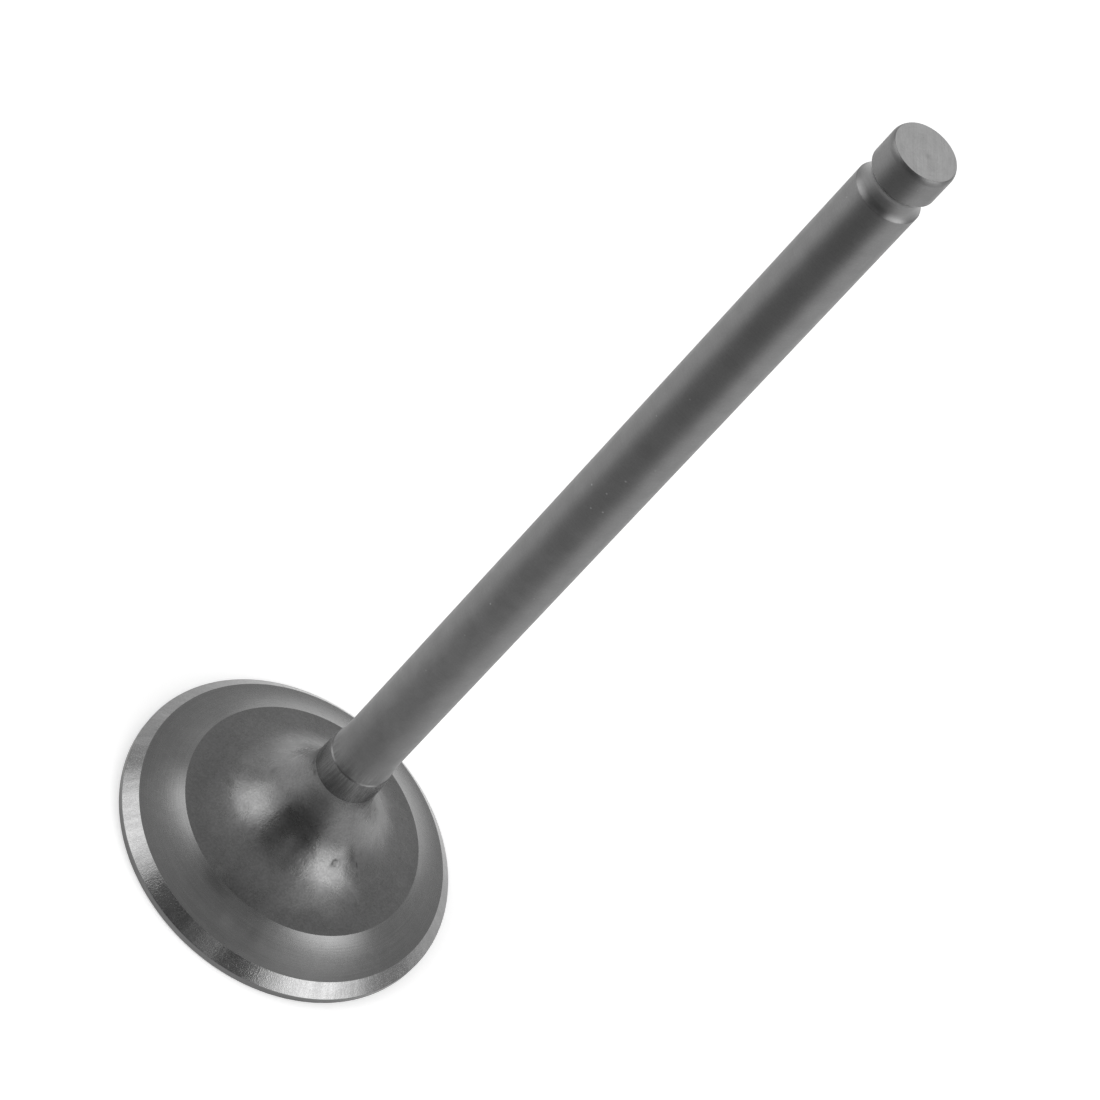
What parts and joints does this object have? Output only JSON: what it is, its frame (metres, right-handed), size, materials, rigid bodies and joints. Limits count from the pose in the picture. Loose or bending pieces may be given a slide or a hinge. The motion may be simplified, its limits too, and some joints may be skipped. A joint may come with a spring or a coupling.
{
  "type": "engine poppet valve",
  "caption": "Engine poppet valve: disc head with a 45 degree seat, curved throat, dark turned neck and a long ground stem with a rounded keeper groove near the tip.",
  "frame": {"origin": "centre of the flat combustion face, which is the lowest face", "axes": "+Z runs along the stem axis from the head to the tip; the solid is the same all round, so +X and +Y have no preferred side"},
  "size_m": [0.0346, 0.0346, 0.1125],
  "materials": {
    "valve_steel": "satin grey nitrided steel, with a bright ground seat ring and bright tip"
  },
  "bodies": {
    "root": {"valve": "valve_steel"}
  },
  "joints": []
}
